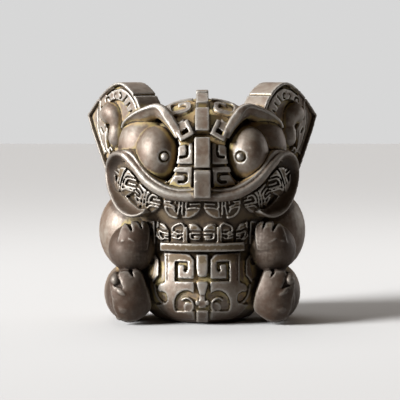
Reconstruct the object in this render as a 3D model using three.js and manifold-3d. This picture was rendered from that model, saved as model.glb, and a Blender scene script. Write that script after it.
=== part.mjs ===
// A squatting beast with bulging eyes, fan-shaped ears and a wide open mouth, cast in one piece.
// Its teeth, forehead, ears and belly carry raised frets, and a crest of square blocks runs over its head.
// Sizes are in millimetres. +Z is up, the beast looks along -Y, and it is the same on both sides of X = 0.
import * as THREE from "three";
import { mergeVertices } from "three/addons/utils/BufferGeometryUtils.js";
import Module from "manifold-3d";

const wasm = await Module();
wasm.setup();

// Driving dimensions
const SKULL = { at: [0, -2, 92], radii: [50, 48, 42] };
const TORSO = { at: [0, 6, 38], radii: [46, 38, 46] };
const BELLY = { y: -10, radius: 39, deepen: 1.02 };
const MOUTH = { halfWidth: 60, depth: 54.5, boxiness: 2.2, y: -2 };
const EAR = { at: [55.4, -2, 119.4], faceTurn: 52, thickness: 15.5, rim: 2.2, dish: 3.4 };
const LID = { at: [33, -20, 105.2], radii: [17.8, 17, 17.8] };
const EYE = { at: [27.5, -36, 104.3], radii: [12, 14.5, 15.8], pupil: [-3.9, -3.9], bore: 3.7, bead: 2.2 };
const CREST = { top: 3.7, nose: 4.7, height: 5.4 };
const RELIEF = { plate: 2.4, tooth: 3.2, belly: 1.9, bellyCrest: 3.2 };
const BRONZE = { color: 0x5a5049, roughness: 0.42, metalness: 0.7 };

const WELD = 1e-4;
const FLOOR = 0;
// Moves the middle of the statue's depth to the origin.
const CENTRE_SHIFT = 4.7;

// A closed three.js geometry as a solid, turned the right way out.
function solid(geometry) {
  const bare = new THREE.BufferGeometry().setAttribute("position", geometry.getAttribute("position"));
  if (geometry.index) bare.setIndex(geometry.index);
  const merged = mergeVertices(bare, WELD);
  const corners = new Uint32Array(merged.index.array);
  const make = () => {
    const vertProperties = merged.attributes.position.array;
    return new wasm.Manifold(new wasm.Mesh({ numProp: 3, vertProperties, triVerts: corners }));
  };
  const made = make();
  if (made.volume() > 0) return made;
  for (let i = 0; i < corners.length; i += 3) {
    [corners[i + 1], corners[i + 2]] = [corners[i + 2], corners[i + 1]];
  }
  return make();
}

function geometryOf(made) {
  const mesh = made.getMesh();
  return new THREE.BufferGeometry()
    .setAttribute("position", new THREE.BufferAttribute(mesh.vertProperties, 3))
    .setIndex(new THREE.BufferAttribute(mesh.triVerts, 1));
}

const joined = (solids) => solids.reduce((all, next) => all.add(next));
const mirrored = (made) => solid(geometryOf(made).scale(-1, 1, 1));
const range = (count) => [...Array(count).keys()];
const radians = (degrees) => THREE.MathUtils.degToRad(degrees);

// A ball stretched to three radii, turned by angles in degrees and set in its place.
function ball(at, radii, { turn = [0, 0, 0], around = 12, down = 8 } = {}) {
  const turned = new THREE.Matrix4().makeRotationFromEuler(new THREE.Euler(...turn.map(radians)));
  return solid(
    new THREE.SphereGeometry(1, around, down)
      .rotateX(Math.PI / 2)
      .scale(...radii)
      .applyMatrix4(turned)
      .translate(...at),
  );
}

function box(at, size) {
  return solid(new THREE.BoxGeometry(...size).translate(...at));
}

// A frame to draw in: a point, the way to its right, the way up, and the way out towards the viewer.
function view(at, right, up) {
  const [origin, across, rise] = [at, right, up].map((v) => new THREE.Vector3(...v));
  return { at: origin, right: across, up: rise, out: across.clone().cross(rise) };
}
const FRONT = view([0, 0, 0], [1, 0, 0], [0, 0, 1]);
const TOP = view([0, 0, 0], [1, 0, 0], [0, 1, 0]);
const BACK = view([0, 0, 0], [-1, 0, 0], [0, 0, 1]);
const SIDE = view([0, 0, 0], [0, 1, 0], [0, 0, 1]);

// A flat outline pushed out along its frame, from one distance to another.
function prism(shape, frame, from, to, curveSegments = 4) {
  const placed = new THREE.Matrix4().makeBasis(frame.right, frame.up, frame.out).setPosition(frame.at);
  return solid(
    new THREE.ExtrudeGeometry(shape, { depth: to - from, bevelEnabled: false, curveSegments })
      .translate(0, 0, from)
      .applyMatrix4(placed),
  );
}

const outline = (points) => new THREE.Shape(points.map(([x, y]) => new THREE.Vector2(x, y)));

// The points of an arc, with angles in degrees.
function arc(x, y, radiusX, radiusY, from, to, steps) {
  return range(steps + 1).map((i) => {
    const angle = radians(from + ((to - from) * i) / steps);
    return [x + radiusX * Math.cos(angle), y + radiusY * Math.sin(angle)];
  });
}

// The outline of a band of even width that follows a line of points, with mitred corners.
function stroke(points, width) {
  const line = points.map(([x, y]) => new THREE.Vector2(x, y));
  const way = line.slice(1).map((p, i) => p.clone().sub(line[i]).normalize());
  const side = line.map((p, i) => {
    const before = way[Math.max(i - 1, 0)];
    const after = way[Math.min(i, way.length - 1)];
    const across = new THREE.Vector2(-before.y - after.y, before.x + after.x).normalize();
    return across.multiplyScalar(width / 2 / Math.abs(across.dot(new THREE.Vector2(-after.y, after.x))));
  });
  const left = line.map((p, i) => p.clone().add(side[i]));
  const right = line.map((p, i) => p.clone().sub(side[i]));
  return new THREE.Shape([...left, ...right.reverse()]);
}

// A closed tube whose rings are laid by a function of the share of the way along and of the corner.
// The corner is null at the middle of an end.
function loft(sides, steps, place) {
  const tube = new THREE.CylinderGeometry(1, 1, 1, sides, steps);
  const at = tube.attributes.position;
  for (let i = 0; i < at.count; i++) {
    const turn = Math.atan2(at.getX(i), at.getZ(i)) / (2 * Math.PI);
    const onRing = Math.hypot(at.getX(i), at.getZ(i)) > 0.5;
    const corner = onRing ? (Math.round(turn * sides) + sides) % sides : null;
    at.setXYZ(i, ...place(0.5 - at.getY(i), corner));
  }
  return solid(tube);
}

// A section of [across, out] corners swept along stations, each with a point, an across and an out way.
function sweep(stations, sectionAt) {
  const sides = sectionAt(0).length;
  return loft(sides, stations.length - 1, (along, corner) => {
    const { at, across, out } = stations[Math.round(along * (stations.length - 1))];
    const section = sectionAt(along);
    const middle = section.reduce(([a, b], [c, d]) => [a + c / sides, b + d / sides], [0, 0]);
    const [sideways, forward] = corner === null ? middle : section[corner];
    return at.clone().addScaledVector(across, sideways).addScaledVector(out, forward).toArray();
  });
}

// The head, trunk and limbs
// Prisms that shape the face start and end at these distances in front of the middle.
const FACE_REACH = [20, 62];

function skull(grown = 0) {
  return ball(SKULL.at, SKULL.radii.map((r) => r + grown), { around: 18, down: 9 });
}

// Half widths and depths of the muzzle at rising heights: the mouth's inner wall, which carries the teeth.
const MUZZLE = [
  { z: 42, x: 36.5, y: 41 },
  { z: 60, x: 38.5, y: 44.5 },
  { z: 80, x: 54, y: 49 },
  { z: 102, x: 54, y: 49 },
];

function muzzle(grown = 0) {
  const sides = 16;
  return loft(sides, MUZZLE.length - 1, (along, corner) => {
    const level = MUZZLE[Math.round((1 - along) * (MUZZLE.length - 1))];
    if (corner === null) return [0, MOUTH.y, level.z];
    const turn = (corner / sides) * 2 * Math.PI;
    const [c, s] = [Math.cos(turn), Math.sin(turn)];
    const power = 2 / MOUTH.boxiness;
    const x = Math.sign(c) * Math.abs(c) ** power * (level.x + grown);
    return [x, MOUTH.y + Math.sign(s) * Math.abs(s) ** power * (level.y + grown), level.z];
  });
}

// The roll of the lips: out from the middle of the upper lip, round the mouth's corner, to the lower lip's end.
const LIP = [
  [0, 77.8],
  [11.9, 77.4],
  [22.5, 79.4],
  [33.2, 85.6],
  [41.6, 95],
  [48.2, 100.6],
  [54.5, 99.4],
  [57.8, 92],
  [56.3, 81],
  [50.5, 70.4],
  [42.5, 66],
  [35.4, 67.2],
];

// The muzzle as far as it shows: under the upper lip, and in the front half of the head.
function jaw(grown = 0) {
  const half = [...LIP, [41, 60], [41, 40]];
  const opening = outline([...half, ...half.slice(1).reverse().map(([x, z]) => [-x, z])]);
  return muzzle(grown).intersect(prism(opening, FRONT, 20, 70));
}

// Heights of the pot-shaped belly, and its radius there as a share of the widest.
const BELLY_PROFILE = [
  [0, 0.58],
  [2.6, 0.75],
  [9, 0.92],
  [18, 1.0],
  [31, 0.99],
  [44, 0.87],
];

function belly(grown = 0) {
  const rings = BELLY_PROFILE.map(([z, share]) => new THREE.Vector2(BELLY.radius * share + grown, z));
  const profile = [new THREE.Vector2(0, 0), ...rings, new THREE.Vector2(0, rings.at(-1).y)];
  const pot = new THREE.LatheGeometry(profile, 18).rotateX(Math.PI / 2);
  return solid(pot.scale(1, BELLY.deepen, 1).translate(0, BELLY.y, 0));
}

function arm() {
  const upper = ball([42.5, 1, 53], [21, 24, 25.5], { around: 10, down: 7 });
  const fore = ball([41.2, -30, 45.4], [13.6, 15.5, 15.8], { turn: [22, 0, 0], around: 10, down: 6 });
  const fingers = range(3).map((n) =>
    ball([34.4 + 5.7 * n, -40.8 + n, 56.2 - 0.4 * n], [3.1, 4.4, 4.9], { turn: [24, 0, 0], around: 6, down: 4 }),
  );
  return joined([upper, fore, ...fingers]);
}

const TOES = [
  { at: [38.6, -46, 27.6], radii: [3.6, 5.4, 4.4] },
  { at: [46, -47, 26.6], radii: [4.2, 5.4, 4.6] },
  { at: [53.6, -44, 24.6], radii: [3.2, 5.2, 4.6] },
];

function leg() {
  const thigh = ball([45.5, -18, 17.3], [14, 27, 17.3], { around: 10, down: 6 });
  const sole = ball([43.8, -42.5, 15.7], [11.8, 9, 15.5], { around: 10, down: 7 });
  const tread = ball([45.8, -41, 21.4], [11.2, 9.4, 8.6], { around: 8, down: 5 });
  const toes = TOES.map(({ at, radii }) => ball(at, radii, { around: 6, down: 4 }));
  return joined([thigh, sole, tread, ...toes]);
}

// The ears

const TURN = radians(EAR.faceTurn);
const EAR_VIEW = view(EAR.at, [Math.cos(TURN), Math.sin(TURN), 0], [0, 0, 1]);

// The rim from the inner side, over the top, to the sharp outer corner, and then down to the root.
const EAR_RIM = [[-25.6, 4], [-24.6, 10], [-18.6, 18.4], [-10, 24.6], [-3, 25.2], [5.4, 21.4], [15.4, 14.4], [26.4, 4]];
const EAR_ROOT = [[22, -5], [12.6, -21], [7, -30], [-7, -30], [-14, -20]];

function earOutline(inset) {
  const rim = new THREE.SplineCurve(EAR_RIM.map(([x, y]) => new THREE.Vector2(x, y))).getPoints(9);
  const root = EAR_ROOT.map(([x, y]) => new THREE.Vector2(x, y));
  return new THREE.Shape([...rim, ...root].map((p) => p.multiplyScalar(1 - inset / 25)));
}

function ear() {
  const at = (across, up, out) =>
    EAR_VIEW.at
      .clone()
      .addScaledVector(EAR_VIEW.right, across)
      .addScaledVector(EAR_VIEW.up, up)
      .addScaledVector(EAR_VIEW.out, out)
      .toArray();
  const slab = prism(earOutline(0), EAR_VIEW, -EAR.thickness, 0);
  const hollow = prism(earOutline(EAR.rim), EAR_VIEW, -EAR.dish, 1);
  const turn = [0, 0, EAR.faceTurn];
  const bulge = ball(at(-1.8, 2.5, -EAR.dish), [7.4, 5, 9], { turn, around: 7, down: 4 });
  const lobe = ball(at(-0.8, -8, -EAR.dish), [5.6, 6, 7], { turn, around: 7, down: 4 });
  const onFace = (points, width, height) =>
    prism(stroke(points, width), EAR_VIEW, -EAR.dish - 1, height - EAR.dish);
  const rays = [100, 124, 148].map((angle) => onFace(arc(0, 0, 1, 1, angle, angle, 1).map(([x, y], i) => [
    x * (14.5 + 6 * i),
    y * (14.5 + 6 * i),
  ]), 2.4, 2));
  const bands = [arc(-1, 1, 12.2, 15, -68, 40, 3), arc(-1, 1, 17.4, 19, -60, 28, 2)].map((points) =>
    onFace(points, 2, 2.2),
  );
  return joined([slab.subtract(hollow), bulge, lobe, ...rays, ...bands]);
}

// Grooves that part the ear's edge into lengths, at angles round its face in degrees.
const EAR_JOINTS = [[46, 20.4], [138, 24.6]];

function earCuts() {
  return joined(
    EAR_JOINTS.map(([angle, radius]) => {
      const [x, y] = [Math.cos(radians(angle)), Math.sin(radians(angle))];
      const across = stroke([[radius * x, radius * y], [30 * x, 30 * y]], 1.1);
      return prism(across, EAR_VIEW, -EAR.thickness - 1, 1);
    }),
  );
}

// The face

function socket() {
  return ball([EYE.at[0], EYE.at[1] - 6, EYE.at[2]], EYE.radii.map((r) => r + 1.6), { around: 8, down: 6 });
}

function eye() {
  const lid = ball(LID.at, LID.radii, { around: 10, down: 7 });
  const globe = ball(EYE.at, EYE.radii, { around: 12, down: 8 });
  const [a, b, c] = EYE.radii;
  const [dx, dz] = EYE.pupil;
  const dy = -b * Math.sqrt(1 - (dx / a) ** 2 - (dz / c) ** 2);
  const pupil = [dx, dy, dz].map((v, i) => EYE.at[i] + v);
  const out = new THREE.Vector3(dx / a ** 2, dy / b ** 2, dz / c ** 2).normalize();
  const upright = new THREE.Quaternion().setFromUnitVectors(new THREE.Vector3(0, 1, 0), out);
  const drill = new THREE.CylinderGeometry(EYE.bore, EYE.bore, 3, 7).applyQuaternion(upright);
  const bead = ball(pupil, [EYE.bead, EYE.bead, EYE.bead], { around: 6, down: 4 });
  return joined([lid, globe.subtract(solid(drill.translate(...pupil))), bead]);
}

// Stations of the brow from its outer end, over the eye, down to the nose:
// place, width of its bright front edge, and reach of the slope under it.
const BROW = [
  { at: [50.5, -21, 115.5], edge: 2.2, slope: 3.2 },
  { at: [49.5, -25, 121], edge: 2.6, slope: 5 },
  { at: [44.5, -31, 126.4], edge: 2.8, slope: 6 },
  { at: [36.5, -36.5, 130.4], edge: 3.2, slope: 6 },
  { at: [28, -40, 132.2], edge: 3.8, slope: 4.6 },
  { at: [22, -42.5, 129.8], edge: 4.6, slope: 2.6 },
  { at: [17.4, -44.5, 124.2], edge: 4.6, slope: 1.2 },
  { at: [13.8, -46.8, 118.2], edge: 4.4, slope: 0.8 },
  { at: [11.4, -48.6, 113.4], edge: 4.2, slope: 0.6 },
];

function browSection(along) {
  const place = along * (BROW.length - 1);
  const [low, high] = [Math.floor(place), Math.ceil(place)];
  const edge = THREE.MathUtils.lerp(BROW[low].edge, BROW[high].edge, place - low);
  const slope = THREE.MathUtils.lerp(BROW[low].slope, BROW[high].slope, place - low);
  return [[0, -14], [0, 0], [-edge, 0.4], [-edge - slope, -6], [-edge - slope, -14]];
}

function brow() {
  const path = new THREE.CatmullRomCurve3(BROW.map(({ at }) => new THREE.Vector3(...at)));
  const steps = 10;
  const out = new THREE.Vector3(0, -1, 0);
  const stations = range(steps + 1).map((i) => {
    const across = path.getTangent(i / steps).cross(out).normalize();
    return { at: path.getPoint(i / steps), across, out };
  });
  if (stations[5].across.z < 0) stations.forEach((s) => s.across.negate());
  return sweep(stations, browSection);
}

// The squared curl that ends the brow beside the crest.
function browCurl() {
  const hook = prism(stroke([[14.6, 115.4], [12.3, 111], [6.6, 114.2], [9.4, 120]], 3.2), FRONT, ...FACE_REACH);
  const knob = prism(stroke([[14.6, 120.4], [11.6, 116.2]], 4), FRONT, ...FACE_REACH);
  const bed = prism(outline([[12.4, 109.6], [17, 118], [10.4, 121.4], [5.4, 113.2]]), FRONT, ...FACE_REACH);
  return joined([hook.intersect(skull(7.2)), knob.intersect(skull(6)), bed.intersect(skull(4))]);
}

function mouthDepth(x) {
  const share = Math.abs(x / MOUTH.halfWidth) ** MOUTH.boxiness;
  return MOUTH.y - MOUTH.depth * (1 - share) ** (1 / MOUTH.boxiness);
}

// The level way out of the mouth's rounded wall at a point.
function mouthOut(x, y) {
  const power = MOUTH.boxiness - 1;
  const lean = (v, radius) => (Math.sign(v) * Math.abs(v) ** power) / radius ** MOUTH.boxiness;
  return new THREE.Vector3(lean(x, MOUTH.halfWidth), lean(y - MOUTH.y, MOUTH.depth), 0).normalize();
}

function lips() {
  const half = LIP.map(([x, z]) => new THREE.Vector3(x, mouthDepth(x), z));
  const other = half.slice(1).reverse().map((p) => new THREE.Vector3(-p.x, p.y, p.z));
  const path = new THREE.CatmullRomCurve3([...other, ...half]);
  const steps = 24;
  const stations = range(steps + 1).map((i) => {
    const at = path.getPoint(i / steps);
    const out = mouthOut(at.x, at.y);
    return { at, across: out.clone().cross(path.getTangent(i / steps)).normalize(), out };
  });
  const section = [[-2.5, -13], [-2.8, -0.9], [0, 1.4], [2.8, -0.9], [2.5, -13]];
  return sweep(stations, () => section);
}

// The teeth

// Half of a pointed tooth: a lens at the tip, and above it a squared hook or a slanted line.
// Points are [away from the middle bar, up from the tip].
function toothHalf(width, hooked) {
  const lens = [[1.2, 0], [0.7 * width, 1.8], [width, 6.2], [2.4, 4.8]];
  const hook = [[width, 12], [3, 12], [3, 7], [width, 8.6]];
  const line = [[1.8, 6.6], [width, 8.4]];
  return [outline(lens), stroke(hooked ? hook : line, 1.5)];
}

// A whole tooth in the front view. Its bar stands on the tip and leans in towards the middle at its top.
function tooth({ x, tip, lean = 0, inner, outer, point = 1 }) {
  const [c, s] = [Math.cos(radians(lean)), Math.sin(radians(lean))];
  const turned = (p, side) =>
    new THREE.Vector2(x + side * p.x * c - p.y * s, tip + point * (side * p.x * s + p.y * c));
  const place = (shape, side) => new THREE.Shape(shape.getPoints().map((p) => turned(p, side)));
  const bar = place(outline([[-0.8, -0.6], [0.8, -0.6], [0.8, 16], [-0.8, 16]]), 1);
  const halves = [[-1, inner], [1, outer]].flatMap(([side, width]) =>
    toothHalf(width, point > 0 && width > 7).map((shape) => place(shape, side)),
  );
  return [bar, ...halves];
}

const TEETH = [
  { x: 13.4, tip: 63.8, inner: 12, outer: 9.4 },
  { x: 34.4, tip: 67.2, lean: 3, inner: 9.2, outer: 5.8 },
  { x: 49.8, tip: 78, lean: 15, inner: 9.8, outer: 3.6 },
  { x: 9.5, tip: 61.6, inner: 8.2, outer: 8.8, point: -1 },
  { x: 28.2, tip: 62.4, inner: 7.8, outer: 6.6, point: -1 },
];

function teeth() {
  const frets = TEETH.flatMap(tooth).map((shape) => prism(shape, FRONT, 10, 70));
  return joined(frets).intersect(jaw(RELIEF.tooth));
}

// The forehead, crest and belly reliefs

function foreheadPlates() {
  const upper = outline([[5.6, 109], [5.8, 96.6], [17.2, 96.6], [15.2, 105], [12.4, 107.6]]);
  const lower = outline([[6, 94.8], [18, 94.6], [23, 86.3], [23.4, 82], [6.2, 79]]);
  const upperFret = stroke([[8.9, 110], [8.9, 100.8], [12.8, 100.2]], 1.6);
  const lowerFret = stroke([[19.6, 79], [20, 85.8], [16.6, 90.8], [9.6, 90.4], [9.6, 86.4], [14.4, 85.8]], 1.6);
  const cut = (shape) => prism(shape, FRONT, ...FACE_REACH);
  const raised = joined([upper, lower].map(cut)).intersect(skull(RELIEF.plate));
  return raised.subtract(joined([upperFret, lowerFret].map(cut)).subtract(skull(0.4)));
}

// Squared spirals on the crown and on the back of the head.
function crownFrets() {
  const crown = stroke([[5.5, -12], [19, -12], [19, -27], [9, -27], [9, -18.5], [14.4, -18.5]], 2.9);
  const nape = stroke([[-6, 122], [-22, 118], [-22, 101], [-9, 101], [-9, 111], [-16, 110]], 2.9);
  return prism(crown, TOP, 90, 150).add(prism(nape, BACK, ...FACE_REACH)).intersect(skull(RELIEF.plate));
}

// The crest's blocks stand along the skull's middle line, between these angles over the head, in degrees.
const CREST_SPANS = [[3, 25.5], [31, 52.5], [59, 75], [81, 98], [104, 122], [128, 146], [152, 170]];

function crest() {
  const [, cy, cz] = SKULL.at;
  const [, ry, rz] = SKULL.radii;
  const blocks = CREST_SPANS.map(([from, to], n) => {
    const on = (grown) => arc(cy, cz, ry + grown, rz + grown, 180 - from, 180 - to, n < 2 ? 2 : 1);
    const half = THREE.MathUtils.lerp(CREST.nose, CREST.top, Math.min(1, n / 2));
    return prism(outline([...on(CREST.height), ...on(-6).reverse()]), SIDE, -half, half);
  });
  const nose = outline([[-58.6, 93], [-60, 76.8], [-40, 76.8], [-40, 93]]);
  return joined([prism(nose, SIDE, -CREST.nose, CREST.nose), ...blocks]);
}

function chinPlate() {
  return box([0, -30, 46.8], [70, 44, 4.8]).intersect(muzzle(6.4));
}

// A plate on either side of the belly's crest, with a squared spiral, an arch and a hooked edge, and a leaf.
const BELLY_PLATE = [
  [4.9, 40.6],
  [6, 42],
  [22.8, 42.6],
  [22.2, 24.8],
  [26.2, 23.2],
  [26.8, 20],
  [24.4, 19.4],
  [20.8, 17],
  [20.6, 13.4],
  [27.8, 10.8],
  [22.4, 4.4],
  [4.9, 2.4],
];
const BELLY_LEAF = [[29.8, 40.6], [26, 38.6], [25.8, 28.4], [30, 23.6], [36.4, 29], [30.4, 36]];

function bellyRelief() {
  const spiral = stroke([[3, 26.9], [15.4, 26.9], [15.4, 36.6], [9.7, 36.6], [9.7, 32], [11.4, 31.4]], 1.9);
  const arch = stroke(arc(9.3, 10, 6.2, 8, -40, 214, 6), 2.4);
  const cut = (shape) => prism(shape, FRONT, 0, 70);
  const raised = joined([outline(BELLY_PLATE), outline(BELLY_LEAF)].map(cut)).intersect(belly(RELIEF.belly));
  return raised.subtract(joined([spiral, arch].map(cut)).subtract(belly(0.2)));
}

function bellyCrest() {
  const blocks = [[30.4, 43], [15.5, 27], [1.5, 12]];
  const bars = blocks.map(([low, high]) => box([0, -35, (low + high) / 2], [6.8, 50, high - low]));
  return joined(bars).intersect(belly(RELIEF.bellyCrest));
}

// A short tail laid up against the back, with a round tuft at its end.
function tail() {
  const line = [[33, 4], [38.5, 12], [42, 22], [43.5, 33]];
  const path = new THREE.CatmullRomCurve3(line.map(([y, z]) => new THREE.Vector3(0, y, z)));
  const section = new THREE.Shape().absarc(0, 0, 4.6, 0, 2 * Math.PI);
  const settings = { steps: 4, extrudePath: path, bevelEnabled: false, curveSegments: 4 };
  const tuft = ball([0, 43.5, 37], [6.4, 5.6, 8], { around: 8, down: 5 });
  return solid(new THREE.ExtrudeGeometry(section, settings)).add(tuft);
}

function beast() {
  const cheek = ball([35.5, -7, 85.5], [21, 21.5, 20], { around: 10, down: 7 });
  const face = joined([foreheadPlates(), crownFrets(), browCurl()]);
  const side = joined([arm(), leg(), cheek, ear().subtract(earCuts()), eye(), brow(), teeth(), bellyRelief()]);
  const sockets = socket().add(mirrored(socket()));
  const head = joined([skull(), face, mirrored(face)]).subtract(sockets);
  const trunk = joined([jaw(), ball(TORSO.at, TORSO.radii, { around: 14, down: 8 }), belly()]);
  const centred = joined([lips(), crest(), chinPlate(), bellyCrest(), tail()]);
  const ground = box([0, 0, FLOOR - 20], [200, 200, 40]);
  return joined([head, trunk, side, mirrored(side), centred]).subtract(ground);
}

const material = new THREE.MeshStandardMaterial(BRONZE);
const statue = new THREE.Mesh(geometryOf(beast()), material);
statue.name = "beast_statue";
statue.position.y = CENTRE_SHIFT;

const group = new THREE.Group();
group.add(statue);

export default group;
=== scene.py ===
from math import cos, pi, radians, sin, sqrt, tan

import bpy
import numpy as np
from mathutils import Euler, Matrix, Vector
from mathutils.bvhtree import BVHTree
from mathutils.kdtree import KDTree


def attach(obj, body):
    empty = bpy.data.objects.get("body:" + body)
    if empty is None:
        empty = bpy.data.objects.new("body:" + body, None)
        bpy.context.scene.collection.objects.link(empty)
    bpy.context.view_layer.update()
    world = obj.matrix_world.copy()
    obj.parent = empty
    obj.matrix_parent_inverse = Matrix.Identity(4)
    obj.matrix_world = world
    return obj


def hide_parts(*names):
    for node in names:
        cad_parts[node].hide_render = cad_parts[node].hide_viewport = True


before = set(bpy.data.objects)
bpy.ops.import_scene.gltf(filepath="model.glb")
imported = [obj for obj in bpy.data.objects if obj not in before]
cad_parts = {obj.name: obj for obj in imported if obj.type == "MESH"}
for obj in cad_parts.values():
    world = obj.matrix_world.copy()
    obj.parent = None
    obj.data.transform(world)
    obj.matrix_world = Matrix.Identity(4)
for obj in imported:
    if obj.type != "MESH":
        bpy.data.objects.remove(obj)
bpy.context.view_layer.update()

# The beast is shaped in millimetres, looking along -Y, and brought to metres when it is cast.
MM = 0.001
# How far back it then moves, so that it stands on the middle of its depth.
CENTRE_SHIFT = 4.7
# The step of the casting's skin, and the most triangles that it may have.
GRAIN = 0.43
FACE_LIMIT = 196000

# The view from the front: the picture's side in pixels, millimetres to a pixel in the plane that outlines are
# drawn in, that plane's place, the beast's middle and standing lines in the picture, and the camera's place.
IMAGE = 400
PIXEL = 0.6
DRAWN_Y = -30
MIDDLE_LINE = 202.3
STANDING_LINE = 323
AIM = ((IMAGE / 2 - MIDDLE_LINE) * PIXEL, DRAWN_Y, (STANDING_LINE - IMAGE / 2) * PIXEL)
DISTANCE = 1200
ELEVATION = 4

SKULL = {"at": (0, -2, 92), "radii": (50, 48, 42)}
TORSO = {"at": (0, 6, 38), "radii": (46, 38, 46)}
BELLY = {"y": -10, "radius": 39, "deepen": 1.02, "raise": 0.9}
MOUTH = {"half_width": 60, "depth": 54.5, "boxiness": 2.2, "y": -2}
EAR = {"at": (55.4, -2, 119.4), "turn": 52, "thickness": 17, "rim": 1.5, "dish": 3.4}
LID = {"at": (33, -20, 105), "radii": (17.8, 17, 20)}
EYE = {"at": (26.7, -35.4, 101.6), "radii": (12.9, 15, 17), "pupil": (-4.5, -0.9), "bore": 3.5, "bead": 2.3}

# Heights over the front frame: a plane ahead of every part, and the reach of the face's outlines.
AHEAD = 75
FACE_REACH = (20, AHEAD)


# Shapes drawn flat

def smooth(points, steps=6):
    """A curve through the points, as closer points."""
    ends = [points[0], *points, points[-1]]
    line = []
    for a, b, c, d in zip(ends, ends[1:], ends[2:], ends[3:]):
        a, b, c, d = (np.array(p, float) for p in (a, b, c, d))
        for k in range(steps):
            t = k / steps
            line.append(0.5 * (2 * b + (c - a) * t + (2 * a - 5 * b + 4 * c - d) * t**2
                               + (3 * b - a - 3 * c + d) * t**3))
    return [tuple(p) for p in line] + [tuple(points[-1])]


def arc(x, y, radius_x, radius_y, start, end, steps=12):
    turns = [radians(start + (end - start) * k / steps) for k in range(steps + 1)]
    return [(x + radius_x * cos(a), y + radius_y * sin(a)) for a in turns]


def stroke(points, width):
    """The outline of a band along a line, with mitred corners. Its width is one number, or its two ends'."""
    sharpest = 0.35
    start, end = width if isinstance(width, tuple) else (width, width)
    line = [Vector(p) for p in points]
    ways = [(b - a).normalized() for a, b in zip(line, line[1:])]
    left, right = [], []
    for i, p in enumerate(line):
        before, after = ways[max(i - 1, 0)], ways[min(i, len(ways) - 1)]
        across = Vector((-before.y - after.y, before.x + after.x)).normalized()
        lean = max(abs(across.dot(Vector((-after.y, after.x)))), sharpest)
        half = (start + (end - start) * i / (len(line) - 1)) / 2 / lean
        left.append(tuple(p + across * half))
        right.append(tuple(p - across * half))
    return left + right[::-1]


def view(at, right, up):
    """A frame to draw in: X to the right, Y up the drawing, Z out towards the viewer."""
    right, up = Vector(right), Vector(up)
    turned = Matrix((right, up, right.cross(up))).transposed().to_4x4()
    return Matrix.Translation(at) @ turned


FRONT = view((0, 0, 0), (1, 0, 0), (0, 0, 1))
BACK = view((0, 0, 0), (-1, 0, 0), (0, 0, 1))
TOP = view((0, 0, 0), (1, 0, 0), (0, 1, 0))
SIDE = view((0, 0, 0), (0, 1, 0), (0, 0, 1))
TURN = radians(EAR["turn"])
EAR_VIEW = view(EAR["at"], (cos(TURN), sin(TURN), 0), (0, 0, 1))


# Making and joining

def deselect():
    bpy.ops.object.select_all(action="DESELECT")


def ball(at, radii, turn=(0, 0, 0), around=40, down=24):
    bpy.ops.mesh.primitive_uv_sphere_add(segments=around, ring_count=down, radius=1, location=at)
    made = bpy.context.active_object
    made.rotation_euler = Euler([radians(a) for a in turn])
    made.scale = radii
    bpy.ops.object.transform_apply()
    return made


def block(low, high):
    """A box between two corners."""
    low, high = Vector(low), Vector(high)
    bpy.ops.mesh.primitive_cube_add(size=1, location=(low + high) / 2)
    made = bpy.context.active_object
    made.scale = high - low
    bpy.ops.object.transform_apply()
    return made


def slab(outline, placed, low, high):
    """A flat outline given thickness, between two heights over its frame."""
    bpy.ops.mesh.primitive_circle_add(vertices=len(outline), fill_type="NGON")
    made = bpy.context.active_object
    for corner, (x, y) in zip(made.data.vertices, outline):
        corner.co = (x, y, low)
    bpy.ops.object.mode_set(mode="EDIT")
    bpy.ops.mesh.select_all(action="SELECT")
    bpy.ops.mesh.extrude_region_move(TRANSFORM_OT_translate={"value": (0, 0, high - low)})
    bpy.ops.mesh.select_all(action="SELECT")
    bpy.ops.mesh.quads_convert_to_tris()
    bpy.ops.mesh.normals_make_consistent(inside=False)
    bpy.ops.object.mode_set(mode="OBJECT")
    made.data.transform(placed)
    return made


def rolled(columns, rows, place):
    """A grid rolled into a closed body: place gives each point from its shares along and around."""
    bpy.ops.mesh.primitive_grid_add(x_subdivisions=columns, y_subdivisions=rows, size=1)
    made = bpy.context.active_object
    for corner in made.data.vertices:
        corner.co = place(corner.co.x + 0.5, corner.co.y + 0.5)
    bpy.ops.object.mode_set(mode="EDIT")
    bpy.ops.mesh.select_all(action="SELECT")
    bpy.ops.mesh.remove_doubles(threshold=0.001)
    bpy.ops.mesh.select_all(action="DESELECT")
    bpy.ops.mesh.select_non_manifold()
    bpy.ops.mesh.fill_holes(sides=0)
    bpy.ops.mesh.select_all(action="SELECT")
    bpy.ops.mesh.quads_convert_to_tris()
    bpy.ops.mesh.normals_make_consistent(inside=False)
    bpy.ops.object.mode_set(mode="OBJECT")
    return made


def swept(line, section, outward):
    """A closed section [across, out] carried along a line of points, which faces outward at each."""
    line = [Vector(p) for p in line]
    last = len(line) - 1

    def place(along, around):
        i = round(along * last)
        way = (line[min(i + 1, last)] - line[max(i - 1, 0)]).normalized()
        out = outward(line[i], i / last)
        across = way.cross(out).normalized()
        corners = section(i / last)
        sideways, forward = corners[round(around * len(corners)) % len(corners)]
        return line[i] + across * sideways + out * forward

    return rolled(last, len(section(0)), place)


def fused(pieces):
    """Joins solids into one object."""
    deselect()
    for piece in pieces:
        piece.select_set(True)
    bpy.context.view_layer.objects.active = pieces[0]
    if len(pieces) > 1:
        bpy.ops.object.join()
    return bpy.context.active_object


def carved(piece, tool, way="DIFFERENCE"):
    """Cuts the piece with the tool, or keeps what they share, and drops the tool."""
    deselect()
    bpy.context.view_layer.objects.active = piece
    piece.select_set(True)
    cut = piece.modifiers.new("cut", "BOOLEAN")
    cut.operation = way
    cut.solver = "MANIFOLD"
    cut.object = tool
    bpy.ops.object.modifier_apply(modifier=cut.name)
    bpy.data.objects.remove(tool)
    return piece


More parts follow.
